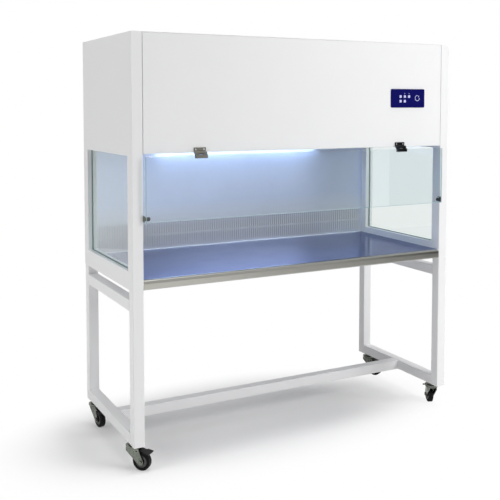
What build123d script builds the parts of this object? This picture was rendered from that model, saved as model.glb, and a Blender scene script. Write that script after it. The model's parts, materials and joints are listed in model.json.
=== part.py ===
"""Two-person vertical laminar flow hood on an open welded stand with swivel casters.

Millimetres. X runs to the right, Y to the rear and Z up. The origin is on the floor under the
middle of the stand.
"""
from build123d import *
import math
import os

os.makedirs("parts", exist_ok=True)

# Overall sizes
case_width = 1560
stand_depth = 640
case_overhang = 8
case_height = 1002
leg_length = 618
caster_height = 108
tube = 45
tube_wall = 2
tube_corner = 3
top_gap = 40
sheet = 2

# Heights of the case's parts above its base
worktop_above_base = 42
worktop_edge = 40
worktop_nose = 16
front_panel_above_base = 532
fan_deck_above_base = 704

# Side windows
window_depth = 534
window_height = 452
window_above_base = 72
window_lining = 8
window_glass_thickness = 5
window_glass_inset = 19
window_groove = 3

# Front sash, its hinges and its buffers
sash_width = 1460
sash_height = 255
sash_glass_thickness = 6
sash_standoff = 14
hinge_from_side = 284
hinge_width = 52
hinge_leaf_height = 17
hinge_clamp_height = 15
knuckle_radius = 6
knuckle_length = 18
hinge_pin_radius = 2.5
running_clearance = 0.05
buffer_radius = 7.7
buffer_length = 22
buffer_above_sash_edge = 14

# Return air slots in the back wall
slot_width = 3.2
slot_height = 52
slot_pitch = 12
slots_per_row = 120
slot_rows_above_worktop = (38, 98)
return_duct = 16

# Control panel
control_width = 190
control_height = 84
control_thickness = 3
control_from_right = 240
control_below_top = 250
key_size = 11.4
key_gap = 0.3
key_travel = 0.5
key_proud = 0.8
power_key_radius = 13.5

# Casters
wheel_radius = 37.5
wheel_half_width = 16
caster_trail = 36
caster_inset = 65
axle_radius = 4
kingpin_radius = 8
raceway_radius = 33
fork_inner = 16.5
fork_plate = 2.5
fork_top_z = 86
fork_top_thickness = 4
pedal_pin_radius = 3
pedal_foot_half = 22

# Stations worked out from the sizes above
half_width = case_width / 2
inner_half = half_width - tube
front = -stand_depth / 2
stand_rear = stand_depth / 2
case_rear = stand_rear + case_overhang
case_depth = case_rear - front
case_mid_y = (case_rear + front) / 2
leg_x = half_width - tube / 2
leg_y = stand_rear - tube / 2
case_base = caster_height + leg_length
case_top = case_base + case_height
worktop_top = case_base + worktop_above_base
panel_bottom = case_base + front_panel_above_base
fan_deck_z = case_base + fan_deck_above_base
back_wall_y = case_rear - sheet - return_duct
sides = {"left": -1, "right": 1}


def at_y(y):
    """The upright plane at this Y, seen from the front: sketch x is X and sketch y is Z."""
    return Plane.XZ.offset(-y)


def write(builder, name):
    """Labels the finished piece and writes its STEP file."""
    builder.part.label = name
    export_step(builder.part, f"parts/{name}.step")


# ------------------------------------------------------------------ stand
stretcher_z = caster_height + tube / 2
top_rail_z = case_base - top_gap - tube / 2
rail_heights = (stretcher_z, top_rail_z)

for side, sign in sides.items():
    with BuildPart() as side_frame:
        with BuildSketch(Plane.XY.offset(caster_height)):
            with Locations((sign * leg_x, -leg_y), (sign * leg_x, leg_y)):
                RectangleRounded(tube, tube, tube_corner)
        extrude(amount=leg_length)
        with BuildSketch(at_y(leg_y - tube / 2)):
            with Locations([(sign * leg_x, z) for z in rail_heights]):
                RectangleRounded(tube, tube, tube_corner)
        extrude(amount=2 * leg_y - tube)
        # The legs are open at the top, and each rail's bore runs into both legs.
        with BuildSketch(Plane.XY.offset(caster_height + tube_wall)):
            with Locations((sign * leg_x, -leg_y), (sign * leg_x, leg_y)):
                Rectangle(tube - 2 * tube_wall, tube - 2 * tube_wall)
        extrude(amount=leg_length, mode=Mode.SUBTRACT)
        with BuildSketch(at_y(leg_y)):
            with Locations([(sign * leg_x, z) for z in rail_heights]):
                Rectangle(tube - 2 * tube_wall, tube - 2 * tube_wall)
        extrude(amount=2 * leg_y, mode=Mode.SUBTRACT)
        # Holes for the caster stems
        with BuildSketch(Plane.XY.offset(caster_height)):
            with Locations(
                (sign * leg_x, front + caster_inset), (sign * leg_x, stand_rear - caster_inset)
            ):
                Circle(6.25)
        extrude(amount=tube_wall, mode=Mode.SUBTRACT)
        # The outer rims of the leg tops are broken, which leaves a fine seam under the case.
        rims = side_frame.edges().group_by(Axis.Z)[-1]
        chamfer(rims.filter_by(lambda rim: rim.length < tube - 2 * tube_wall - 1), 1)
    write(side_frame, f"{side}_side_frame")

with BuildPart() as stretcher:
    with BuildSketch(Plane.YZ.offset(-inner_half)):
        with Locations((0, stretcher_z)):
            RectangleRounded(tube, tube, tube_corner)
            Rectangle(tube - 2 * tube_wall, tube - 2 * tube_wall, mode=Mode.SUBTRACT)
    extrude(amount=2 * inner_half)
write(stretcher, "stretcher")

# ------------------------------------------------------------------ casters
# The angle is the way each fork trails, from +X towards +Y.
casters = {
    "front_left": (-leg_x, front + caster_inset, -48),
    "front_right": (leg_x, front + caster_inset, 66),
    "rear_left": (-leg_x, stand_rear - caster_inset, -80),
    "rear_right": (leg_x, stand_rear - caster_inset, -66),
}
fork_half_length = 27
pedal_pin = (20, 80)
pedal_boss_radius = 5.5
pedal_tip = (77, 75)
pedal_toe = (73, 68.5)
pedal_sole = (55, 76.3)
pedal_heel = (26, 77.8)
pedal_half = fork_inner - 0.5

for corner, (pivot_x, pivot_y, angle) in casters.items():
    trail = Vector(math.cos(math.radians(angle)), math.sin(math.radians(angle)), 0)
    across = Vector(-trail.Y, trail.X, 0)
    pivot = Vector(pivot_x, pivot_y, 0)
    axle = pivot + trail * caster_trail + Vector(0, 0, wheel_radius)
    plan = Plane(origin=pivot, x_dir=trail, z_dir=(0, 0, 1))
    upright = Plane(origin=pivot, x_dir=trail, z_dir=across * -1)
    section = Plane(origin=axle, x_dir=across, z_dir=trail)

    with BuildPart() as stem:
        with BuildSketch(upright):
            with BuildLine():
                Polyline(
                    (0, fork_top_z - 2),
                    (10, fork_top_z - 2),
                    (10, fork_top_z - 0.3),
                    (kingpin_radius, fork_top_z - 0.3),
                    (kingpin_radius, fork_top_z + fork_top_thickness + 0.4),
                    (raceway_radius - 4, fork_top_z + fork_top_thickness + 0.4),
                    (raceway_radius, fork_top_z + 7),
                    (raceway_radius, 99),
                    (18, 101),
                    (16, caster_height),
                    (6, caster_height),
                    (6, caster_height + 30),
                    (0, caster_height + 30),
                    close=True,
                )
            make_face()
        revolve(axis=Axis(pivot, (0, 0, 1)))
    write(stem, f"{corner}_caster_stem")

    with BuildPart() as fork:
        with BuildSketch(plan.offset(fork_top_z)):
            Circle(fork_half_length + 2)
            Rectangle(2 * fork_half_length, 2 * (fork_inner + fork_plate))
            Circle(kingpin_radius + running_clearance, mode=Mode.SUBTRACT)
        extrude(amount=fork_top_thickness)
        # Each cheek tapers from the top plate to a round end at the axle.
        for start in (fork_inner, -fork_inner - fork_plate):
            with BuildSketch(upright.offset(start)):
                with Locations((0, fork_top_z - 2)):
                    Rectangle(2 * fork_half_length, 12)
                with Locations((caster_trail, wheel_radius)):
                    Circle(13)
                make_hull()
                with Locations(pedal_pin):
                    Circle(pedal_pin_radius + running_clearance, mode=Mode.SUBTRACT)
            extrude(amount=fork_plate)
        # Pressed ribs on the outside of the cheeks
        for start, rise in ((fork_inner + fork_plate, 1), (-fork_inner - fork_plate, -1)):
            with BuildSketch(upright.offset(start)):
                with Locations((-11, 78), (5, 71)):
                    Rectangle(3.5, 18)
            extrude(amount=rise)
        # Axle bolt with a hexagon head and nut
        with BuildSketch(upright.offset(-fork_inner - fork_plate)):
            with Locations((caster_trail, wheel_radius)):
                Circle(axle_radius)
        extrude(amount=2 * (fork_inner + fork_plate))
        for start, rise in ((fork_inner + fork_plate, 4), (-fork_inner - fork_plate, -4)):
            with BuildSketch(upright.offset(start)):
                with Locations((caster_trail, wheel_radius)):
                    RegularPolygon(7.5, 6)
            extrude(amount=rise)
    write(fork, f"{corner}_caster_fork")

    with BuildPart() as wheel:
        with BuildSketch(section):
            with BuildLine():
                Polyline(
                    (-wheel_half_width, axle_radius + running_clearance),
                    (wheel_half_width, axle_radius + running_clearance),
                    (wheel_half_width, 11),
                    (9, 14),
                    (9, 26),
                    (13, 29),
                    (9, wheel_radius),
                    (-9, wheel_radius),
                    (-13, 29),
                    (-9, 26),
                    (-9, 14),
                    (-wheel_half_width, 11),
                    close=True,
                )
            make_face()
        revolve(axis=Axis(axle, across))
    write(wheel, f"{corner}_caster_wheel")

    with BuildPart() as pedal:
        with BuildSketch(upright.offset(-pedal_half)):
            with BuildLine():
                top_line = Line((pedal_pin[0], pedal_pin[1] + pedal_boss_radius), pedal_tip)
                Line(pedal_tip, pedal_toe)
                ThreePointArc(pedal_toe, pedal_sole, pedal_heel)
                Polyline(pedal_heel, pedal_pin, top_line @ 0)
            make_face()
            with Locations(pedal_pin):
                Circle(pedal_boss_radius)
        extrude(amount=2 * pedal_half)
        # The foot plate reaches past the cheeks.
        with BuildSketch(upright.offset(-pedal_foot_half)):
            with BuildLine():
                Polyline(top_line @ 0.55, pedal_tip, pedal_toe, pedal_sole, close=True)
            make_face()
        extrude(amount=2 * pedal_foot_half)
        with BuildSketch(upright.offset(-fork_inner - fork_plate)):
            with Locations(pedal_pin):
                Circle(pedal_pin_radius)
        extrude(amount=2 * (fork_inner + fork_plate))
    write(pedal, f"{corner}_brake_pedal")

# ------------------------------------------------------------------ case shell
window_mid_z = case_base + window_above_base + window_height / 2
worktop_ledge = 18

for side, sign in sides.items():
    with BuildPart() as side_panel:
        with BuildSketch(Plane.XY.offset(case_base)):
            with Locations((sign * leg_x, case_mid_y)):
                RectangleRounded(tube, case_depth, tube_corner)
        extrude(amount=case_height - sheet)
        with BuildSketch(Plane.XY.offset(case_base + sheet)):
            with Locations((sign * leg_x, case_mid_y)):
                Rectangle(tube - 2 * sheet, case_depth - 2 * sheet)
        extrude(amount=case_height, mode=Mode.SUBTRACT)
        # The lining closes the hollow panel round the window and grips the glass in a groove.
        inner_face = Plane.YZ.offset(sign * inner_half)
        with BuildSketch(inner_face):
            with Locations((0, window_mid_z)):
                Rectangle(window_depth + 2 * window_lining, window_height + 2 * window_lining)
        extrude(amount=sign * (tube - sheet / 2))
        with BuildSketch(inner_face):
            with Locations((0, window_mid_z)):
                Rectangle(window_depth, window_height)
        extrude(amount=sign * tube, mode=Mode.SUBTRACT)
        with BuildSketch(Plane.YZ.offset(sign * (half_width - window_glass_inset))):
            with Locations((0, window_mid_z)):
                Rectangle(window_depth + 2 * window_groove, window_height + 2 * window_groove)
        extrude(amount=-sign * window_glass_thickness, mode=Mode.SUBTRACT)
        # Ledge that carries the worktop's end
        with BuildSketch(Plane.XY.offset(case_base)):
            with Locations((sign * (inner_half - worktop_ledge / 2), 0)):
                Rectangle(worktop_ledge, stand_depth - 2 * tube)
        extrude(amount=sheet)
    write(side_panel, f"{side}_side_panel")

    with BuildPart() as window_glass:
        with BuildSketch(Plane.YZ.offset(sign * (half_width - window_glass_inset))):
            with Locations((0, window_mid_z)):
                Rectangle(window_depth + 2 * window_groove, window_height + 2 * window_groove)
        extrude(amount=-sign * window_glass_thickness)
    write(window_glass, f"{side}_window_glass")

intake_width = 900
intake_depth = 260
intake_y = 60
with BuildPart() as top_cover:
    with BuildSketch(Plane.XY.offset(case_top - sheet)):
        with Locations((0, case_mid_y)):
            RectangleRounded(case_width, case_depth, tube_corner)
        with Locations((0, intake_y)):
            with GridLocations(intake_width / 2, intake_depth / 8, 2, 8):
                Rectangle(intake_width / 2 - 20, 14, mode=Mode.SUBTRACT)
    extrude(amount=sheet)
write(top_cover, "top_cover")

with BuildPart() as prefilter:
    with BuildSketch(Plane.XY.offset(case_top - sheet - 20)):
        with Locations((0, intake_y)):
            Rectangle(intake_width + 20, intake_depth + 20)
    extrude(amount=18)
write(prefilter, "prefilter")

panel_gap = 1.5
panel_fold = 20
with BuildPart() as front_panel:
    with BuildSketch(at_y(front)):
        with Locations((0, (case_top - sheet + panel_bottom) / 2)):
            Rectangle(2 * (inner_half - panel_gap), case_top - sheet - panel_bottom)
    extrude(amount=-panel_fold)
    fillet(front_panel.faces().sort_by(Axis.Y)[0].edges(), 3)
    offset(amount=-sheet, openings=front_panel.faces().sort_by(Axis.Y)[-1])
write(front_panel, "front_panel")

inlet_x = -650
inlet_z = case_base + 760
with BuildPart() as rear_cover:
    with BuildSketch(at_y(case_rear)):
        with Locations((0, (case_top - sheet + case_base) / 2)):
            Rectangle(2 * inner_half, case_height - sheet)
        with Locations((inlet_x, inlet_z)):
            RectangleRounded(48, 28, 3, mode=Mode.SUBTRACT)
    extrude(amount=sheet)
write(rear_cover, "rear_cover")

with BuildPart() as power_inlet:
    with BuildSketch(at_y(case_rear)):
        with Locations((inlet_x, inlet_z)):
            RectangleRounded(60, 40, 4)
    extrude(amount=-3)
    with BuildSketch(at_y(case_rear)):
        with Locations((inlet_x, inlet_z)):
            RectangleRounded(47.4, 27.4, 2.7)
    extrude(amount=24)
    with BuildSketch(at_y(case_rear + 3)):
        with Locations((inlet_x, inlet_z)):
            RectangleRounded(28, 20, 3)
    extrude(amount=20, mode=Mode.SUBTRACT)
    with BuildSketch(at_y(case_rear - 17)):
        with Locations((inlet_x - 7, inlet_z - 2), (inlet_x, inlet_z + 3), (inlet_x + 7, inlet_z - 2)):
            Rectangle(2, 4)
    extrude(amount=-16)
write(power_inlet, "power_inlet")

with BuildPart() as back_wall:
    with BuildSketch(at_y(back_wall_y)):
        with Locations((0, (worktop_top + fan_deck_z) / 2)):
            Rectangle(2 * inner_half, fan_deck_z - worktop_top)
        for row in slot_rows_above_worktop:
            with Locations((0, worktop_top + row)):
                with GridLocations(slot_pitch, 0, slots_per_row, 1):
                    Rectangle(slot_width, slot_height, mode=Mode.SUBTRACT)
    extrude(amount=sheet)
write(back_wall, "back_wall")

with BuildPart() as worktop:
    with BuildSketch(Plane.YZ):
        with BuildLine():
            top_line = worktop_top - sheet / 2
            hem_line = worktop_top - worktop_edge + sheet / 2
            front_line = front + sheet / 2
            rear_line = back_wall_y - 1.5 * sheet
            FilletPolyline(
                (front_line + 22, hem_line),
                (front_line, hem_line),
                (front_line, top_line),
                (rear_line, top_line),
                (rear_line, hem_line),
                (rear_line - 16, hem_line),
                radius=[2.5, worktop_nose, 2.5, 2.5],
            )
        trace(line_width=sheet)
    extrude(amount=inner_half - 0.5, both=True)
write(worktop, "worktop")

# ------------------------------------------------------------------ filter and fans
chamber_front = front + panel_fold + 2
chamber_depth = back_wall_y - sheet - chamber_front
chamber_mid_y = (back_wall_y - sheet + chamber_front) / 2

with BuildPart() as diffuser_screen:
    with BuildSketch(Plane.XY.offset(panel_bottom + 4)):
        with Locations((0, chamber_mid_y)):
            Rectangle(2 * inner_half, chamber_depth)
            with GridLocations(2 * inner_half / 10, chamber_depth / 2, 10, 2):
                Rectangle(110, 270, mode=Mode.SUBTRACT)
    extrude(amount=sheet)
write(diffuser_screen, "diffuser_screen")

filter_height = 70
filter_wall = 18
filter_z = panel_bottom + 12
with BuildPart() as hepa_frame:
    with BuildSketch(Plane.XY.offset(filter_z)):
        with Locations((0, chamber_mid_y)):
            Rectangle(2 * inner_half - 10, chamber_depth - 10)
            Rectangle(
                2 * (inner_half - filter_wall) - 10,
                chamber_depth - 2 * filter_wall - 10,
                mode=Mode.SUBTRACT,
            )
    extrude(amount=filter_height)
write(hepa_frame, "hepa_frame")

pleats = 40
pleat_span = 2 * (inner_half - filter_wall) - 10
pleat_pitch = pleat_span / pleats
pleat_low = filter_z + 5
pleat_rise = filter_height - 14
pleat_thickness = 4
with BuildPart() as hepa_media:
    with BuildSketch(at_y(chamber_mid_y + chamber_depth / 2 - filter_wall - 5)):
        with BuildLine():
            ridge = [
                (-pleat_span / 2 + i * pleat_pitch / 2, pleat_low + pleat_rise * (i % 2))
                for i in range(2 * pleats + 1)
            ]
            lifted = [(x, z + pleat_thickness) for x, z in reversed(ridge)]
            Polyline(*ridge, *lifted, close=True)
        make_face()
    extrude(amount=chamber_depth - 2 * filter_wall - 10)
write(hepa_media, "hepa_media")

blower_x = 350
blower_half = 65
outlet_drop = 150
outlet_inner = 20
scroll_step = 14
scroll_radii = (100, 114, 128)
inlet_radius = 65
impeller_radius = 85
shaft_radius = 5
shaft_z = fan_deck_z + sheet + outlet_drop
outlet_outer = scroll_step / 2 + scroll_radii[2]

with BuildPart() as fan_deck:
    with BuildSketch(Plane.XY.offset(fan_deck_z)):
        with Locations((0, chamber_mid_y)):
            Rectangle(2 * inner_half, chamber_depth)
        with Locations(
            (-blower_x, (outlet_inner + outlet_outer) / 2), (blower_x, (outlet_inner + outlet_outer) / 2)
        ):
            Rectangle(2 * blower_half - 4, outlet_outer - outlet_inner - 4, mode=Mode.SUBTRACT)
    extrude(amount=sheet)
write(fan_deck, "fan_deck")

for side, sign in sides.items():
    hub = Vector(sign * blower_x, 0, shaft_z)
    shaft_plane = Plane(origin=hub, x_dir=(0, 1, 0), z_dir=(1, 0, 0))

    with BuildPart() as blower_housing:
        with BuildSketch(shaft_plane.offset(-blower_half)):
            with BuildLine():
                # Three quarter turns whose radius steps up towards the outlet
                half_step = scroll_step / 2
                small = CenterArc((-half_step, half_step), scroll_radii[0], 180, 90)
                CenterArc((half_step, half_step), scroll_radii[1], 90, 90)
                large = CenterArc((half_step, -half_step), scroll_radii[2], 0, 90)
                tongue = Line(small @ 1, (outlet_inner, -scroll_radii[0] + half_step))
                throat = Line(tongue @ 1, (outlet_inner, -outlet_drop))
                mouth = Line(throat @ 1, (outlet_outer, -outlet_drop))
                Line(mouth @ 1, large @ 0)
            make_face()
        extrude(amount=2 * blower_half)
        offset(amount=-sheet, openings=blower_housing.faces().sort_by(Axis.Z)[0])
        with BuildSketch(shaft_plane.offset(-blower_half)):
            Circle(inlet_radius)
        extrude(amount=2 * blower_half, mode=Mode.SUBTRACT)
    write(blower_housing, f"{side}_blower_housing")

    with BuildPart() as blower_wheel:
        with BuildSketch(shaft_plane.offset(-1)):
            Circle(impeller_radius - 1)
        extrude(amount=2)
        with BuildSketch(shaft_plane.offset(-54)):
            with BuildLine() as blade_line:
                Polyline((67, 0), (76, 2.5), (83, 9))
            with PolarLocations(0, 20):
                trace(blade_line.line, line_width=1.6)
        extrude(amount=108)
        for start in (-55, 53):
            with BuildSketch(shaft_plane.offset(start)):
                Circle(impeller_radius)
                Circle(impeller_radius - 6, mode=Mode.SUBTRACT)
            extrude(amount=2)
        with BuildSketch(shaft_plane.offset(-12)):
            Circle(12)
        extrude(amount=16)
        with BuildSketch(shaft_plane.offset(-16)):
            Circle(shaft_radius)
        extrude(amount=60)
    write(blower_wheel, f"{side}_blower_wheel")

    with BuildPart() as blower_motor:
        with BuildSketch(shaft_plane.offset(6)):
            Circle(44)
        extrude(amount=blower_half - 6)
        with BuildSketch(shaft_plane.offset(blower_half)):
            Circle(30)
            Rectangle(22, 170)
        extrude(amount=3)
        with BuildSketch(shaft_plane.offset(6)):
            Circle(shaft_radius + running_clearance)
        extrude(amount=44, mode=Mode.SUBTRACT)
    write(blower_motor, f"{side}_blower_motor")

# ------------------------------------------------------------------ lamps
tube_radius = 13
tube_length = 900
work_lamp_y = 275
germicidal_lamp_y = 228
lamp_z = panel_bottom - 16
with BuildPart() as lamp_batten:
    with BuildSketch(Plane.XY.offset(panel_bottom - 2)):
        with Locations((0, (work_lamp_y + germicidal_lamp_y) / 2)):
            RectangleRounded(tube_length + 40, 92, 4)
    extrude(amount=6)
    for start in (-tube_length / 2 - 12, tube_length / 2):
        with BuildSketch(Plane.YZ.offset(start)):
            with Locations(
                (work_lamp_y, (lamp_z + panel_bottom) / 2 - 8),
                (germicidal_lamp_y, (lamp_z + panel_bottom) / 2 - 8),
            ):
                Rectangle(28, panel_bottom - lamp_z + 16)
        extrude(amount=12)
write(lamp_batten, "lamp_batten")

for lamp_name, lamp_y in (("work_lamp", work_lamp_y), ("germicidal_lamp", germicidal_lamp_y)):
    with BuildPart() as lamp:
        with BuildSketch(Plane.YZ.offset(-tube_length / 2)):
            with Locations((lamp_y, lamp_z)):
                Circle(tube_radius)
        extrude(amount=tube_length)
    write(lamp, lamp_name)

# ------------------------------------------------------------------ sash
glass_back = front - sash_standoff
glass_front = glass_back - sash_glass_thickness
sash_top = panel_bottom - 10
sash_bottom = sash_top - sash_height
hinge_axis_y = front - 10

with BuildPart() as sash_glass:
    with BuildSketch(at_y(glass_back)):
        with Locations((0, (sash_top + sash_bottom) / 2)):
            RectangleRounded(sash_width, sash_height, 4)
    extrude(amount=sash_glass_thickness)
    chamfer(sash_glass.faces().filter_by(Axis.Y).edges(), 0.8)
write(sash_glass, "sash_glass")

for side, sign in sides.items():
    hinge_x = sign * (half_width - hinge_from_side)
    hinge_start = Plane.YZ.offset(hinge_x - hinge_width / 2)
    knuckle_start = Plane.YZ.offset(hinge_x - knuckle_length / 2)

    with BuildPart() as hinge_leaf:
        with BuildSketch(at_y(front)):
            with Locations((hinge_x, panel_bottom + 4 + hinge_leaf_height / 2)):
                RectangleRounded(hinge_width, hinge_leaf_height, 2)
        extrude(amount=3)
        with BuildSketch(knuckle_start):
            with Locations((hinge_axis_y, panel_bottom)):
                Circle(knuckle_radius)
            with BuildLine():
                Polyline(
                    (hinge_axis_y, panel_bottom),
                    (hinge_axis_y, panel_bottom + knuckle_radius),
                    (front, panel_bottom + knuckle_radius + 2),
                    (front, panel_bottom + 3),
                    close=True,
                )
            make_face()
        extrude(amount=knuckle_length)
        with BuildSketch(hinge_start):
            with Locations((hinge_axis_y, panel_bottom)):
                Circle(hinge_pin_radius)
        extrude(amount=hinge_width)
    write(hinge_leaf, f"{side}_hinge_leaf")

    with BuildPart() as hinge_clamp:
        # Two jaws and a bridge that sit over the top edge of the glass
        clamp_top = panel_bottom - knuckle_radius - 0.5
        with BuildSketch(hinge_start):
            with BuildLine():
                Polyline(
                    (glass_front - 4, clamp_top - hinge_clamp_height),
                    (glass_front, clamp_top - hinge_clamp_height),
                    (glass_front, sash_top),
                    (glass_back, sash_top),
                    (glass_back, clamp_top - hinge_clamp_height),
                    (glass_back + 4, clamp_top - hinge_clamp_height),
                    (glass_back + 4, clamp_top),
                    (glass_front - 4, clamp_top),
                    close=True,
                )
            make_face()
        extrude(amount=hinge_width)
        outer_length = (hinge_width - knuckle_length) / 2 - 0.5
        for start in (hinge_x - hinge_width / 2, hinge_x + hinge_width / 2 - outer_length):
            with BuildSketch(Plane.YZ.offset(start)):
                with Locations((hinge_axis_y, panel_bottom)):
                    Circle(knuckle_radius)
                with Locations((hinge_axis_y - knuckle_radius / 2 - 0.5, panel_bottom - 4)):
                    Rectangle(knuckle_radius - 1, 8)
            extrude(amount=outer_length)
        with BuildSketch(hinge_start):
            with Locations((hinge_axis_y, panel_bottom)):
                Circle(hinge_pin_radius + running_clearance)
        extrude(amount=hinge_width, mode=Mode.SUBTRACT)
    write(hinge_clamp, f"{side}_hinge_clamp")

    buffer_y = glass_back + buffer_radius + 0.3
    buffer_z = sash_bottom + buffer_above_sash_edge
    with BuildPart() as buffer_bracket:
        with BuildSketch(Plane.YZ.offset(sign * inner_half)):
            with Locations((front, buffer_z)):
                RectangleRounded(2 * sash_standoff, 24, 3)
        extrude(amount=-sign * sheet)
    write(buffer_bracket, f"{side}_buffer_bracket")

    with BuildPart() as buffer:
        with BuildSketch(Plane.YZ.offset(sign * (inner_half - sheet))):
            with Locations((buffer_y, buffer_z)):
                Circle(buffer_radius)
        extrude(amount=-sign * buffer_length)
        chamfer(buffer.faces().sort_by(Axis.X)[0 if sign > 0 else -1].edges(), 2)
    write(buffer, f"{side}_buffer")

# ------------------------------------------------------------------ controls
control_x = half_width - control_from_right
control_z = case_top - control_below_top
key_rows = {
    "lamp_key": (-42, 8),
    "germicidal_key": (-18, 8),
    "fan_key": (6, 8),
    "slower_key": (-42, -13),
    "faster_key": (-18, -13),
}
power_key_place = (53, 1)
key_back = front - key_travel - 0.1
key_thickness = control_thickness + key_proud - key_travel - 0.1

with BuildPart() as control_panel:
    with BuildSketch(at_y(front)):
        with Locations((control_x, control_z)):
            RectangleRounded(control_width, control_height, 6)
        with Locations([(control_x + x, control_z + z) for x, z in key_rows.values()]):
            Rectangle(key_size + 2 * key_gap, key_size + 2 * key_gap, mode=Mode.SUBTRACT)
        with Locations((control_x + power_key_place[0], control_z + power_key_place[1])):
            Circle(power_key_radius + key_gap, mode=Mode.SUBTRACT)
    extrude(amount=control_thickness)
write(control_panel, "control_panel")

for key_name, (x, z) in key_rows.items():
    with BuildPart() as key:
        with BuildSketch(at_y(key_back)):
            with Locations((control_x + x, control_z + z)):
                RectangleRounded(key_size, key_size, 1.5)
        extrude(amount=key_thickness)
    write(key, key_name)

with BuildPart() as power_key:
    with BuildSketch(at_y(key_back)):
        with Locations((control_x + power_key_place[0], control_z + power_key_place[1])):
            Circle(power_key_radius)
    extrude(amount=key_thickness)
write(power_key, "power_key")

control_box_height = 108
with BuildPart() as control_box:
    with BuildSketch(at_y(front + sheet)):
        with Locations((control_x, fan_deck_z + sheet + control_box_height / 2)):
            RectangleRounded(220, control_box_height, 5)
    extrude(amount=-60)
write(control_box, "control_box")
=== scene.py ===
"""Finish, small fittings, light and camera for the laminar flow hood."""
import json
import math

import bmesh
import bpy
from mathutils import Matrix, Vector


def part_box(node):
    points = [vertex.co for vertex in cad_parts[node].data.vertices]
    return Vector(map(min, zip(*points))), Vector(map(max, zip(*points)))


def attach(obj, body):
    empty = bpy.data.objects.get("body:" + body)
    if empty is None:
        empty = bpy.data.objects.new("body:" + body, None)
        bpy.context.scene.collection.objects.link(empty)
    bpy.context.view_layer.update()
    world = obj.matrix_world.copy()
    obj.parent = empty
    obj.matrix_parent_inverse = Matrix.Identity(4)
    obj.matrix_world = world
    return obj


bpy.context.scene.view_settings.view_transform = "Standard"
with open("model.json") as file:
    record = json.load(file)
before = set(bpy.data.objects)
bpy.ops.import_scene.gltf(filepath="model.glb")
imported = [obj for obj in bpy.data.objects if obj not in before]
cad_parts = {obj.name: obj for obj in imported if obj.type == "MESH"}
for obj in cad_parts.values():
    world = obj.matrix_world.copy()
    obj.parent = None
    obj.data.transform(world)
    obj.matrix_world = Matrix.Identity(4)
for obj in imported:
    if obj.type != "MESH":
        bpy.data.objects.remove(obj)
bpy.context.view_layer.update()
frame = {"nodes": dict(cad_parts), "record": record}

# ------------------------------------------------------------------ places on the object, in metres
HALF_WIDTH = 0.780
FRONT = -0.320
CASE_REAR = 0.328
INNER_HALF = 0.735
SASH_FRONT = -0.340
SASH_BACK = -0.334
WORKTOP_NOSE = 0.016
TUBE = 0.045
TOP_GAP = 0.040
SIDES = {"left": -1, "right": 1}
CORNERS = ("front_left", "front_right", "rear_left", "rear_right")


# ------------------------------------------------------------------ shader helpers
SMUDGE_SCALE = 6.0
GLOSS_SWING = 0.06
LEAST_ROUGHNESS = 0.02


def node_group(name, inputs, outputs):
    """An empty shader group with float or vector sockets."""
    group = bpy.data.node_groups.new(name, "ShaderNodeTree")
    for label, value in inputs.items():
        kind = "NodeSocketVector" if isinstance(value, tuple) else "NodeSocketFloat"
        socket = group.interface.new_socket(label, in_out="INPUT", socket_type=kind)
        socket.default_value = value
    for label in outputs:
        group.interface.new_socket(label, in_out="OUTPUT", socket_type="NodeSocketFloat")
    entry = group.nodes.new("NodeGroupInput")
    leave = group.nodes.new("NodeGroupOutput")
    return group, entry, leave


def connect(tree, socket, value):
    """Gives a socket a plain value, or links another node's output to it."""
    if isinstance(value, bpy.types.NodeSocket):
        tree.links.new(value, socket)
    else:
        socket.default_value = value


def math_node(tree, operation, *values):
    """The result of one operation on plain values and outputs."""
    node = tree.nodes.new("ShaderNodeMath")
    node.operation = operation
    for socket, value in zip(node.inputs, values):
        connect(tree, socket, value)
    return node.outputs["Value"]


def vector_node(tree, operation, *values):
    """A node that does one vector operation; a length leaves it by another output."""
    node = tree.nodes.new("ShaderNodeVectorMath")
    node.operation = operation
    for socket, value in zip(node.inputs, values):
        connect(tree, socket, value)
    return node


def noise_node(tree, coords, scale, detail):
    """Cloudy noise on these coordinates."""
    noise = tree.nodes.new("ShaderNodeTexNoise")
    noise.inputs["Detail"].default_value = detail
    noise.inputs["Roughness"].default_value = 0.55
    connect(tree, noise.inputs["Vector"], coords)
    connect(tree, noise.inputs["Scale"], scale)
    return noise.outputs["Fac"]


def range_node(tree, value, low, high, from_low=0.3, from_high=0.7):
    """Spreads a value over another range, and cuts it off at the ends."""
    remap = tree.nodes.new("ShaderNodeMapRange")
    for label, end in (
        ("Value", value),
        ("From Min", from_low),
        ("From Max", from_high),
        ("To Min", low),
        ("To Max", high),
    ):
        connect(tree, remap.inputs[label], end)
    return remap.outputs["Result"]


def new_material(name, **sockets):
    """A material with these values on its Principled shader, and its node tree."""
    material = bpy.data.materials.new(name)
    material.use_nodes = True
    shader = material.node_tree.nodes["Principled BSDF"]
    for label, value in sockets.items():
        shader.inputs[label.replace("_", " ")].default_value = value
    return material, material.node_tree, shader


def blend_shaders(tree, share, first, second):
    """Sends a mix of two shaders to the surface."""
    mix = tree.nodes.new("ShaderNodeMixShader")
    for socket, value in zip(mix.inputs, (share, first, second)):
        tree.links.new(value, socket)
    tree.links.new(mix.outputs["Shader"], tree.nodes["Material Output"].inputs["Surface"])


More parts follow.
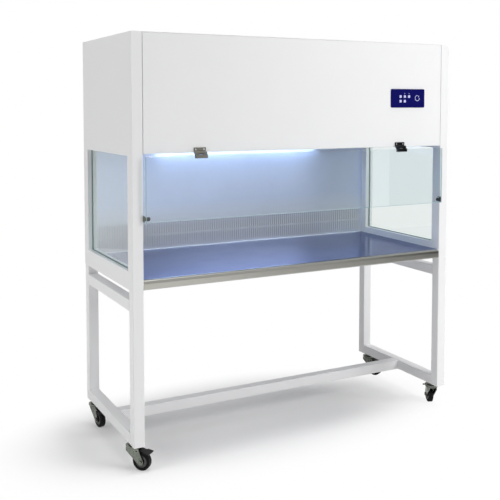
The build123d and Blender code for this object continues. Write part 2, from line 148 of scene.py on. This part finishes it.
def make_surface_grain():
    """Fine grain, and smudges as large as a hand, on the object's own coordinates."""
    group, entry, leave = node_group(
        "surface_grain",
        {"Stretch": (1.0, 1.0, 1.0), "Grain Scale": 400.0},
        ("Grain", "Smudge"),
    )
    place = group.nodes.new("ShaderNodeTexCoord")
    stretch = vector_node(group, "MULTIPLY", place.outputs["Object"], entry.outputs["Stretch"])
    grain = noise_node(group, stretch.outputs["Vector"], entry.outputs["Grain Scale"], 2.0)
    smudge = noise_node(group, place.outputs["Object"], SMUDGE_SCALE, 3.0)
    group.links.new(grain, leave.inputs["Grain"])
    group.links.new(smudge, leave.inputs["Smudge"])
    return group


surface_grain = make_surface_grain()


def finish_material(
    name,
    colour,
    roughness,
    metallic=0.0,
    stretch=(1.0, 1.0, 1.0),
    grain_scale=400.0,
    bump=0.1,
    bump_depth=0.0002,
    tone=0.04,
    **sockets,
):
    """A Principled material whose tone, gloss and relief follow the surface grain group."""
    material, tree, shader = new_material(name, Metallic=metallic, **sockets)
    grain = tree.nodes.new("ShaderNodeGroup")
    grain.node_tree = surface_grain
    grain.inputs["Stretch"].default_value = stretch
    grain.inputs["Grain Scale"].default_value = grain_scale
    mix = tree.nodes.new("ShaderNodeMix")
    mix.data_type = "RGBA"
    low = [max(0.0, c * (1 - tone)) for c in colour]
    high = [min(1.0, c * (1 + tone)) for c in colour]
    mix.inputs["A"].default_value = (*low, 1.0)
    mix.inputs["B"].default_value = (*high, 1.0)
    smudge = math_node(tree, "MULTIPLY", grain.outputs["Smudge"], 0.5)
    marks = math_node(tree, "MULTIPLY_ADD", grain.outputs["Grain"], 0.5, smudge)
    tree.links.new(range_node(tree, marks, 0.0, 1.0), mix.inputs["Factor"])
    tree.links.new(mix.outputs["Result"], shader.inputs["Base Color"])
    least = max(LEAST_ROUGHNESS, roughness - GLOSS_SWING)
    gloss = range_node(tree, marks, least, roughness + GLOSS_SWING)
    tree.links.new(gloss, shader.inputs["Roughness"])
    if bump:
        relief = tree.nodes.new("ShaderNodeBump")
        relief.inputs["Strength"].default_value = bump
        relief.inputs["Distance"].default_value = bump_depth
        tree.links.new(grain.outputs["Grain"], relief.inputs["Height"])
        tree.links.new(relief.outputs["Normal"], shader.inputs["Normal"])
    return material


def fade_painted_reflection(material, colour, roughness, axis, start, end):
    """Paints a reflection: lets the colour and gloss of a surface change along an axis, between two
    planes.
    """
    tree = material.node_tree
    shader = tree.nodes["Principled BSDF"]
    place = tree.nodes.new("ShaderNodeTexCoord")
    parts = tree.nodes.new("ShaderNodeSeparateXYZ")
    tree.links.new(place.outputs["Object"], parts.inputs["Vector"])
    share = range_node(tree, parts.outputs[axis], 0.0, 1.0, start, end)
    for label, kind, value in (
        ("Base Color", "RGBA", (*colour, 1.0)),
        ("Roughness", "FLOAT", roughness),
    ):
        socket = shader.inputs[label]
        mix = tree.nodes.new("ShaderNodeMix")
        mix.data_type = kind
        tree.links.new(share, mix.inputs["Factor"])
        tree.links.new(socket.links[0].from_socket, mix.inputs["A"])
        mix.inputs["B"].default_value = value
        tree.links.new(mix.outputs["Result"], socket)


def glass_material(name, colour):
    """Clear float glass that lets light through to what it covers."""
    tint = (*colour, 1.0)
    material, tree, shader = new_material(
        name, Base_Color=tint, Roughness=0.0, IOR=1.45, Transmission_Weight=1.0
    )
    clear = tree.nodes.new("ShaderNodeBsdfTransparent")
    clear.inputs["Color"].default_value = tint
    path = tree.nodes.new("ShaderNodeLightPath").outputs
    passing = math_node(tree, "MAXIMUM", path["Is Shadow Ray"], path["Is Diffuse Ray"])
    blend_shaders(tree, passing, shader.outputs["BSDF"], clear.outputs["BSDF"])
    return material


def lamp_material(name, colour, glow, strength):
    """A frosted tube that glows."""
    material = finish_material(name, colour, 0.35, bump=0, tone=0.01)
    shader = material.node_tree.nodes["Principled BSDF"]
    shader.inputs["Emission Color"].default_value = (*glow, 1.0)
    shader.inputs["Emission Strength"].default_value = strength
    return material


# ------------------------------------------------------------------ finishes
powder_coat = finish_material(
    "white_powder_coat", (0.86, 0.86, 0.865), 0.36, grain_scale=520.0, bump=0.12,
    bump_depth=0.00015, tone=0.012,
)
window_glass = glass_material("window_glass", (0.85, 0.90, 0.88))
sash_glass = glass_material("sash_glass", (0.90, 0.945, 0.965))
glass_edge = finish_material(
    "glass_edge", (0.36, 0.50, 0.52), 0.5, tone=0.1, Specular_IOR_Level=0.2
)
# Painted reflection: the dark blue base colour and blue specular tint stand in for the dark bluish
# surroundings that the steel reflects
worktop_steel_painted_reflection = finish_material(
    "worktop_steel_painted_reflection", (0.19, 0.205, 0.26), 0.2, 1.0, stretch=(0.02, 1.0, 1.0), grain_scale=900.0,
    bump=0.08, bump_depth=0.0001, tone=0.06, Anisotropic=0.4,
    Specular_Tint=(0.60, 0.65, 0.88, 1.0),
)
# Painted light: the blue of this steel stands in for the blue glow of the work lamp on it
wall_steel_painted_lamp_tint = finish_material(
    "wall_steel_painted_lamp_tint", (0.61, 0.69, 0.90), 0.36, 0.75, stretch=(1.0, 1.0, 0.02), grain_scale=900.0,
    bump=0.02, bump_depth=0.0001, tone=0.05, Anisotropic=0.3,
)
galvanised = finish_material(
    "galvanised_steel", (0.58, 0.60, 0.62), 0.42, 1.0, grain_scale=60.0, tone=0.1
)
motor_paint = finish_material("motor_paint", (0.03, 0.032, 0.036), 0.45)
black_plastic = finish_material(
    "black_plastic", (0.005, 0.005, 0.005), 0.42, grain_scale=900.0, tone=0.2,
    Specular_IOR_Level=0.15,
)
filter_frame = finish_material(
    "filter_frame", (0.66, 0.67, 0.69), 0.4, 1.0, stretch=(0.05, 1.0, 1.0)
)
filter_media = finish_material(
    "filter_media", (0.82, 0.82, 0.80), 0.9, grain_scale=700.0, bump=0.5
)
prefilter_mat = finish_material(
    "prefilter_mat", (0.62, 0.66, 0.70), 0.95, grain_scale=300.0, bump=1.0
)
work_lamp_glow = lamp_material("work_lamp_glass", (0.85, 0.9, 0.95), (0.70, 0.86, 1.0), 18.0)
germicidal_glass = lamp_material("germicidal_lamp_glass", (0.55, 0.6, 0.72), (0.25, 0.3, 1.0), 2.0)
navy_panel = finish_material(
    "navy_panel", (0.003, 0.003, 0.10), 0.4, bump=0.02, tone=0.1, Specular_IOR_Level=0.08
)
pale_key = finish_material("pale_key", (0.62, 0.62, 0.92), 0.35, bump=0.02)
hinge_plate = finish_material("hinge_plate", (0.20, 0.195, 0.17), 0.22, 1.0, grain_scale=700.0)
# Painted reflection: a near-black copy of the hinge metal, for the hinge that reflects dark
# surroundings
hinge_painted_dark_reflection = finish_material("hinge_painted_dark_reflection", (0.035, 0.036, 0.038), 0.25, 1.0, grain_scale=700.0)
zinc = finish_material("zinc_plate", (0.15, 0.162, 0.14), 0.2, 1.0, grain_scale=110.0, tone=0.4)
black_rubber = finish_material("black_rubber", (0.012, 0.012, 0.012), 0.6, grain_scale=900.0)
wheel_rubber = finish_material(
    "wheel_rubber", (0.004, 0.004, 0.004), 0.42, grain_scale=500.0, tone=0.2,
    Specular_IOR_Level=0.12,
)
lamp_cap_metal = finish_material("lamp_cap_metal", (0.75, 0.76, 0.78), 0.3, 1.0)
screw_steel = finish_material("screw_steel", (0.55, 0.56, 0.57), 0.28, 1.0, grain_scale=900.0)
gasket_rubber = finish_material("gasket_rubber", (0.20, 0.27, 0.28), 0.5, grain_scale=900.0)
sealant = finish_material("sealant", (0.80, 0.82, 0.84), 0.45, grain_scale=120.0, bump=0.3)
hub_grey = finish_material("hub_grey", (0.07, 0.074, 0.07), 0.38, grain_scale=500.0)
key_print = finish_material("key_print", (0.66, 0.68, 0.95), 0.4, bump=0)


def dress(node, material):
    """Gives every slot of a CAD node this material."""
    thing = frame["nodes"][node]
    if not thing.material_slots:
        thing.data.materials.append(material)
    for place in thing.material_slots:
        place.material = material


FINISH_OF = {
    "white_powder_coat": powder_coat,
    "clear_glass": window_glass,
    "stainless_steel": wall_steel_painted_lamp_tint,
    "galvanised_steel": galvanised,
    "motor_paint": motor_paint,
    "black_plastic": black_plastic,
    "filter_frame": filter_frame,
    "filter_media": filter_media,
    "prefilter_mat": prefilter_mat,
    "lamp_glass": work_lamp_glow,
    "navy_panel": navy_panel,
    "pale_key": pale_key,
    "hinge_metal": hinge_plate,
    "zinc_plate": zinc,
    "black_rubber": black_rubber,
    "wheel_rubber": wheel_rubber,
}
for part in frame["record"]["subparts"]:
    dress(part["node"], FINISH_OF[part["material_slot"]])
dress("worktop", worktop_steel_painted_reflection)

# Painted reflection: the face of the worktop is tinted dark blue for the surroundings it reflects;
# its rounded front fades to plainer, rougher steel, which widens its highlight
nose_start, nose_end = 1.2 * WORKTOP_NOSE, 0.6 * WORKTOP_NOSE
worktop_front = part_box("worktop")[0].y
fade_painted_reflection(
    worktop_steel_painted_reflection, (0.37, 0.365, 0.335), 0.28, "Y",
    worktop_front + nose_start, worktop_front + nose_end,
)
# Painted reflection: the foot of the back wall is painted lighter, standing in for the lit worktop
# that it mirrors
FOOT_PAINTED_REFLECTION = (0.22, 0.08)
wall_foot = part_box("back_wall")[0].z
fade_painted_reflection(
    wall_steel_painted_lamp_tint, (0.80, 0.83, 0.87), 0.36, "Z",
    wall_foot + FOOT_PAINTED_REFLECTION[0], wall_foot + FOOT_PAINTED_REFLECTION[1],
)

dress("sash_glass", sash_glass)
dress("germicidal_lamp", germicidal_glass)
# Painted reflection: the right hinge is the same metal as the left, made near black where it
# reflects dark surroundings
dress("right_hinge_leaf", hinge_painted_dark_reflection)
dress("right_hinge_clamp", hinge_painted_dark_reflection)
dress("power_key", navy_panel)


# ------------------------------------------------------------------ small fittings
JOINTS = {joint["name"]: joint for joint in frame["record"]["behaviour"]["joints"]}
SCREW_RADIUS = 0.0034
SCREW_RISE = 0.0018
SCREW_SINK = 0.0004
COVER_SCREW_INSET = 0.012
COVER_SCREW_GAPS = (6, 4)
HINGE_LEAF = 0.003
HINGE_SCREWS_ASIDE = 0.018
HINGE_SCREWS_DOWN = 0.0085
BRACKET_SCREWS_IN = 0.007
BRACKET_SCREWS_APART = 0.012
EDGE_SKIN = 0.0003
EDGE_REACH = 0.0012
EDGE_TOP_GAP = 0.004
GASKET_WIDTH = 0.003
GASKET_INSET = 0.003
GASKET_THICKNESS = 0.002
CAP_LENGTH = 0.016
CAP_SKIN = 0.0004
PRINT_RISE = 0.0002
PRINT_SINK = 0.0001
RING_RADII = (0.0112, 0.0132)
RING_START = math.radians(5)
RING_SWEEP = math.radians(285)
POINTER_OFFSET = 0.0075
POINTER_LENGTH = 0.0085
POINTER_WIDTH = 0.0024
DOT_RADIUS = 0.0016
DOT_ABOVE_KEY = 0.008
SEALANT_RADIUS = 0.003
BEAD_RADIUS = 0.0013
BEAD_END_GAP = 0.002
WHEEL_WEB = 0.009


def finish_piece(name, shape, material, body="cabinet"):
    """Makes an object of a shape built at its place and lets it ride a body."""
    bmesh.ops.remove_doubles(shape, verts=shape.verts, dist=0.000001)
    bmesh.ops.recalc_face_normals(shape, faces=shape.faces)
    mesh = bpy.data.meshes.new(name)
    shape.to_mesh(mesh)
    shape.free()
    mesh.materials.append(material)
    piece = bpy.data.objects.new(name, mesh)
    bpy.context.scene.collection.objects.link(piece)
    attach(piece, body)


def aimed(point, direction):
    """A matrix that puts a piece at a point with its Z along a direction."""
    turn = Vector(direction).to_track_quat("Z", "Y").to_matrix().to_4x4()
    return Matrix.Translation(point) @ turn


def add_block(shape, low, high, turn=0.0):
    """A block between two corners, then turned about Y through its middle."""
    low, high = Vector(low), Vector(high)
    place = Matrix.Translation((low + high) / 2) @ Matrix.Rotation(turn, 4, "Y")
    bmesh.ops.create_cube(shape, size=1.0, matrix=place @ Matrix.Diagonal((*(high - low), 1.0)))


def add_turned(shape, profile, place, steps):
    """A closed turned piece from (radius, height) points about a placed Z axis."""
    points = [shape.verts.new(place @ Vector((radius, 0.0, height))) for radius, height in profile]
    lines = [shape.edges.new(pair) for pair in zip(points, points[1:])]
    bmesh.ops.spin(
        shape,
        geom=points + lines,
        cent=place.translation,
        axis=place.to_3x3() @ Vector((0.0, 0.0, 1.0)),
        angle=2 * math.pi,
        steps=steps,
        use_merge=True,
    )


def add_rod(shape, start, end, radius, segments=8):
    """A round rod from one point to another."""
    start, end = Vector(start), Vector(end)
    bmesh.ops.create_cone(
        shape,
        cap_ends=True,
        segments=segments,
        radius1=radius,
        radius2=radius,
        depth=(end - start).length,
        matrix=aimed((start + end) / 2, end - start),
    )


def make_screws(name, points, direction):
    """Pan heads with a socket, standing on a surface that faces a direction."""
    shape = bmesh.new()
    profile = [
        (0.0, SCREW_RISE * 0.4),
        (SCREW_RADIUS * 0.38, SCREW_RISE * 0.4),
        (SCREW_RADIUS * 0.45, SCREW_RISE),
        (SCREW_RADIUS * 0.8, SCREW_RISE * 0.85),
        (SCREW_RADIUS, SCREW_RISE * 0.35),
        (SCREW_RADIUS, -SCREW_SINK),
        (0.0, -SCREW_SINK),
    ]
    for point in points:
        add_turned(shape, profile, aimed(point, direction), 12)
    finish_piece(name, shape, screw_steel)


def spread(start, end, gaps):
    """Even places from start to end."""
    return [start + i * (end - start) / gaps for i in range(gaps + 1)]


def make_cover_screws():
    """One screw at each place round the edge of the rear cover."""
    low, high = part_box("rear_cover")
    across, up = COVER_SCREW_GAPS
    columns = spread(low.x + COVER_SCREW_INSET, high.x - COVER_SCREW_INSET, across)
    rows = spread(low.z + COVER_SCREW_INSET, high.z - COVER_SCREW_INSET, up)
    points = [(x, CASE_REAR, z) for x in columns for z in (rows[0], rows[-1])]
    points += [(x, CASE_REAR, z) for x in (columns[0], columns[-1]) for z in rows[1:-1]]
    make_screws("rear_cover_screws", points, (0, 1, 0))


def make_hinge_screws():
    """Two screws in the leaf of each hinge."""
    for side in SIDES:
        low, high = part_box(f"{side}_hinge_leaf")
        middle = (low.x + high.x) / 2
        height = high.z - HINGE_SCREWS_DOWN
        points = [
            (middle + aside, FRONT - HINGE_LEAF, height)
            for aside in (-HINGE_SCREWS_ASIDE, HINGE_SCREWS_ASIDE)
        ]
        make_screws(f"{side}_hinge_screws", points, (0, -1, 0))


def make_bracket_screws():
    """Two screws in the bracket of each buffer."""
    for side, sign in SIDES.items():
        low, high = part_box(f"{side}_buffer_bracket")
        face = low.x if sign > 0 else high.x
        middle = (low.z + high.z) / 2
        points = [
            (face, FRONT + BRACKET_SCREWS_IN, middle + rise)
            for rise in (-BRACKET_SCREWS_APART / 2, BRACKET_SCREWS_APART / 2)
        ]
        make_screws(f"{side}_bracket_screws", points, (-sign, 0, 0))


def make_sash_edge():
    """The ground lower edge and ends of the sash, which read paler than its faces."""
    low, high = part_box("sash_glass")
    front, back = SASH_FRONT - EDGE_SKIN, SASH_BACK + EDGE_SKIN
    seam = low.z + EDGE_REACH
    shape = bmesh.new()
    add_block(
        shape, (low.x - EDGE_SKIN, front, low.z - EDGE_SKIN), (high.x + EDGE_SKIN, back, seam)
    )
    # The ends stop short of the back face, where the buffers touch the glass
    end_back = SASH_BACK - EDGE_SKIN
    for edge, inward in ((low.x, 1), (high.x, -1)):
        near, far = sorted((edge - inward * EDGE_SKIN, edge + inward * EDGE_REACH))
        add_block(shape, (near, front, seam), (far, end_back, high.z - EDGE_TOP_GAP))
    finish_piece("sash_edge", shape, glass_edge, "sash")


def make_window_gaskets():
    """Rubber strips that hold each window pane from both sides."""
    inset = Vector((0, GASKET_INSET, GASKET_INSET))
    for side in SIDES:
        low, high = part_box(f"{side}_window_glass")
        outer_low, outer_high = low + inset, high - inset
        bottom, top = outer_low.z + GASKET_WIDTH, outer_high.z - GASKET_WIDTH
        shape = bmesh.new()
        for face, out in ((low.x, -1), (high.x, 1)):
            near, far = sorted((face, face + out * GASKET_THICKNESS))
            for z in (outer_low.z, top):
                add_block(shape, (near, outer_low.y, z), (far, outer_high.y, z + GASKET_WIDTH))
            for y in (outer_low.y, outer_high.y - GASKET_WIDTH):
                add_block(shape, (near, y, bottom), (far, y + GASKET_WIDTH, top))
        finish_piece(f"{side}_window_gasket", shape, gasket_rubber)


def make_lamp_caps():
    """Metal caps over the ends of both lamp tubes."""
    shape = bmesh.new()
    for lamp in ("work_lamp", "germicidal_lamp"):
        low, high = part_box(lamp)
        radius = (high.z - low.z) / 2 + CAP_SKIN
        centre = (low + high) / 2
        for end, inward in ((low.x, 1), (high.x, -1)):
            start = Vector((end, centre.y, centre.z))
            add_rod(shape, start, start + Vector((inward * CAP_LENGTH, 0, 0)), radius, 24)
    finish_piece("lamp_caps", shape, lamp_cap_metal)


def make_power_mark():
    """An open ring with a pointer, printed on the power key."""
    low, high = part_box("power_key")
    centre = (low + high) / 2
    front, back = low.y - PRINT_RISE, low.y + PRINT_SINK
    inner, outer = RING_RADII
    shape = bmesh.new()
    along = Vector((math.cos(RING_START), 0, math.sin(RING_START)))
    middle = Vector((centre.x, 0, centre.z))
    corners = ((inner, front), (outer, front), (outer, back), (inner, back))
    section = [
        shape.verts.new(middle + radius * along + Vector((0, y, 0))) for radius, y in corners
    ]
    bmesh.ops.spin(
        shape,
        geom=[shape.faces.new(section)],
        cent=(centre.x, low.y, centre.z),
        axis=(0, 1, 0),
        angle=RING_SWEEP,
        steps=40,
    )
    x, z = centre.x + POINTER_OFFSET, centre.z + POINTER_OFFSET
    add_block(
        shape,
        (x - POINTER_LENGTH / 2, front, z - POINTER_WIDTH / 2),
        (x + POINTER_LENGTH / 2, back, z + POINTER_WIDTH / 2),
        math.radians(-45),
    )
    finish_piece("power_mark", shape, key_print, "power_key_button")


def make_indicator_dots():
    """A dot printed on the panel above two of the keys."""
    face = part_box("control_panel")[0].y
    rim = ((DOT_RADIUS, PRINT_RISE), (DOT_RADIUS, -PRINT_SINK))
    profile = ((0, PRINT_RISE), *rim, (0, -PRINT_SINK))
    shape = bmesh.new()
    for key in ("germicidal_key", "fan_key"):
        low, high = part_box(key)
        spot = ((low.x + high.x) / 2, face, high.z + DOT_ABOVE_KEY)
        add_turned(shape, profile, aimed(spot, (0, -1, 0)), 12)
    finish_piece("indicator_dots", shape, key_print)


def make_sealant():
    """A bead along the foot of the back wall."""
    low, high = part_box("back_wall")
    shape = bmesh.new()
    add_rod(shape, (low.x, low.y, low.z), (high.x, low.y, low.z), SEALANT_RADIUS)
    finish_piece("wall_sealant", shape, sealant)


def add_bead_square(shape, centre, across):
    """Four beads round the end of a square tube, which is level one way across."""
    centre, across, up = Vector(centre), Vector(across), Vector((0, 0, 1))
    reach = TUBE / 2 - BEAD_END_GAP
    for along, aside in ((across, up), (up, across)):
        for offset in (-TUBE / 2, TUBE / 2):
            middle = centre + offset * aside
            add_rod(shape, middle - reach * along, middle + reach * along, BEAD_RADIUS)


def make_weld_beads():
    """Beads round the ends of the rails and the stretcher."""
    frame_low, frame_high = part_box("left_side_frame")
    stretcher_low, stretcher_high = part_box("stretcher")
    lower_z = (stretcher_low.z + stretcher_high.z) / 2
    upper_z = frame_high.z - TOP_GAP - TUBE / 2
    shape = bmesh.new()
    for sign in SIDES.values():
        x = sign * (HALF_WIDTH - TUBE / 2)
        for z in (lower_z, upper_z):
            for y in (frame_low.y + TUBE, frame_high.y - TUBE):
                add_bead_square(shape, (x, y, z), (1, 0, 0))
        add_bead_square(shape, (sign * INNER_HALF, 0, lower_z), (0, 1, 0))
    finish_piece("weld_beads", shape, powder_coat)


def make_wheel_hubs():
    """A grey hub disc on both sides of each wheel, with a ring at its rim."""
    # Radius, and rise above the wheel's web
    section = [
        (0.0146, -0.0003),
        (0.0146, 0.0012),
        (0.0185, 0.0008),
        (0.0215, 0.0008),
        (0.0225, 0.0022),
        (0.0245, 0.0022),
        (0.0255, -0.0003),
    ]
    profile = [(radius, WHEEL_WEB + rise) for radius, rise in section]
    for corner in CORNERS:
        roll = JOINTS[f"{corner}_roll"]
        shape = bmesh.new()
        for way in (1, -1):
            place = aimed(roll["pos_m"], Vector(roll["axis"]) * way)
            add_turned(shape, profile + profile[:1], place, 36)
        finish_piece(f"{corner}_wheel_hub", shape, hub_grey, f"{corner}_wheel")


make_cover_screws()
make_hinge_screws()
make_bracket_screws()
make_sash_edge()
make_window_gaskets()
make_lamp_caps()
make_power_mark()
make_indicator_dots()
make_sealant()
make_weld_beads()
make_wheel_hubs()

# ------------------------------------------------------------------ camera
CAMERA_PLACE = (-1.81295, -3.26738, 1.44328)
CAMERA_DIP = 3.3
CAMERA_TURN = -27.632

camera_data = bpy.data.cameras.new("camera")
camera_data.sensor_fit = "VERTICAL"
camera_data.sensor_width = 42
camera_data.sensor_height = 56
camera_data.lens = 90.83
camera_data.shift_y = -0.1945
camera = bpy.data.objects.new("camera", camera_data)
camera.location = CAMERA_PLACE
camera.rotation_euler = (math.radians(90 - CAMERA_DIP), 0, math.radians(CAMERA_TURN))
bpy.context.scene.collection.objects.link(camera)
bpy.context.scene.camera = camera

# ------------------------------------------------------------------ floor, world and lights
WHITE = (1.0, 1.0, 1.0, 1.0)
FLOOR_PAINT = (0.84, 0.84, 0.84, 1.0)
CARD_BLACK = (0.005, 0.005, 0.005, 1.0)
FLOOR_HALF = 30.0
FLOOR_LIFT = 0.11
SHADOW_ZONE = (0.5, 1.15)
ZONE_CENTRE = (-0.2, 0.0, 0.0)
ZONE_SQUASH = (0.95, 1.8, 1.0)
AMBIENT = 0.26
GLOSSY_AMBIENT = 0.82


def seen_rays(tree):
    """One for rays from the camera, straight or through glass, and one for mirrored rays."""
    path = tree.nodes.new("ShaderNodeLightPath")
    mirrored = math_node(tree, "MINIMUM", path.outputs["Glossy Depth"], 1.0)
    straight = math_node(tree, "SUBTRACT", 1.0, mirrored)
    through = math_node(tree, "MULTIPLY", path.outputs["Is Transmission Ray"], straight)
    return math_node(tree, "MAXIMUM", path.outputs["Is Camera Ray"], through), mirrored


def add_stage(name, shape, material):
    """Adds a piece of the stage, which rides no body."""
    mesh = bpy.data.meshes.new(name)
    shape.to_mesh(mesh)
    shape.free()
    mesh.materials.append(material)
    piece = bpy.data.objects.new(name, mesh)
    bpy.context.scene.collection.objects.link(piece)
    return piece


def make_floor():
    """A white floor that keeps its shadows near the stand and glows plain white farther out."""
    paint, tree, shader = new_material(
        "floor_paint", Base_Color=FLOOR_PAINT, Roughness=0.9, Specular_IOR_Level=0.0,
        Emission_Color=WHITE,
    )
    seen, _ = seen_rays(tree)
    lift = math_node(tree, "MULTIPLY", seen, FLOOR_LIFT)
    tree.links.new(lift, shader.inputs["Emission Strength"])
    place = tree.nodes.new("ShaderNodeTexCoord")
    centred = vector_node(tree, "SUBTRACT", place.outputs["Object"], ZONE_CENTRE)
    squashed = vector_node(tree, "MULTIPLY", centred.outputs["Vector"], ZONE_SQUASH)
    reach = vector_node(tree, "LENGTH", squashed.outputs["Vector"])
    far = range_node(tree, reach.outputs["Value"], 0.0, 1.0, *SHADOW_ZONE)
    far.node.interpolation_type = "SMOOTHSTEP"
    glow = tree.nodes.new("ShaderNodeEmission")
    share = math_node(tree, "MULTIPLY", far, seen)
    blend_shaders(tree, share, shader.outputs["BSDF"], glow.outputs["Emission"])
    shape = bmesh.new()
    bmesh.ops.create_grid(shape, x_segments=1, y_segments=1, size=FLOOR_HALF)
    add_stage("floor", shape, paint)


def make_card(name, foot_start, foot_end, height, level):
    """An upright card that only reflections see: black, or glowing at a level."""
    paint, tree, shader = new_material(
        name, Base_Color=CARD_BLACK, Roughness=1.0, Specular_IOR_Level=0.0,
        Emission_Color=WHITE, Emission_Strength=level,
    )
    clear = tree.nodes.new("ShaderNodeBsdfTransparent")
    blend_shaders(tree, seen_rays(tree)[1], clear.outputs["BSDF"], shader.outputs["BSDF"])
    shape = bmesh.new()
    start, end = Vector((*foot_start, 0.0)), Vector((*foot_end, 0.0))
    line = shape.edges.new((shape.verts.new(start), shape.verts.new(end)))
    raised = bmesh.ops.extrude_edge_only(shape, edges=[line])["geom"]
    tops = [item for item in raised if isinstance(item, bmesh.types.BMVert)]
    bmesh.ops.translate(shape, verts=tops, vec=(0.0, 0.0, height))
    card = add_stage(name, shape, paint)
    card.visible_camera = False
    card.visible_diffuse = False
    card.visible_shadow = False


def make_world():
    """White wherever it is seen, and dimmer where it only lights or reflects."""
    world = bpy.data.worlds.new("studio")
    bpy.context.scene.world = world
    world.use_nodes = True
    tree = world.node_tree
    ambient = tree.nodes["Background"]
    ambient.inputs["Color"].default_value = WHITE
    seen, mirrored = seen_rays(tree)
    gloss = math_node(tree, "MULTIPLY", mirrored, GLOSSY_AMBIENT - AMBIENT)
    level = math_node(tree, "MAXIMUM", seen, math_node(tree, "ADD", gloss, AMBIENT))
    tree.links.new(level, ambient.inputs["Strength"])


make_floor()
make_card("dark_card", (2.25, -2.72), (4.6, -1.0), height=3.0, level=0.0)
make_card("grey_card", (1.0, -2.95), (2.2, -2.75), height=0.45, level=0.2)
make_card("white_card", (-6.0, 1.0), (-1.3, 5.5), height=3.0, level=0.8)
make_world()


def soft_light(name, place, target, size, power, mirrored=True):
    """A square studio lamp aimed at a point, which shiny surfaces may show or not."""
    data = bpy.data.lights.new(name, "AREA")
    data.shape = "SQUARE"
    data.size = size
    data.energy = power
    lamp = bpy.data.objects.new(name, data)
    lamp.location = place
    lamp.visible_glossy = mirrored
    aim = Vector(target) - Vector(place)
    lamp.rotation_euler = aim.to_track_quat("-Z", "Y").to_euler()
    bpy.context.scene.collection.objects.link(lamp)


soft_light("key_light", (2.6, -3.4, 2.6), (0.3, 0.0, 1.1), size=2.0, power=103.0, mirrored=False)
soft_light("top_light", (0.85, -0.98, 12.0), (0.1, -0.1, 0.6), size=4.2, power=720.0)
soft_light("side_light", (-4.2, -0.4, 2.4), (-0.8, 0.0, 1.2), size=2.0, power=42.0)
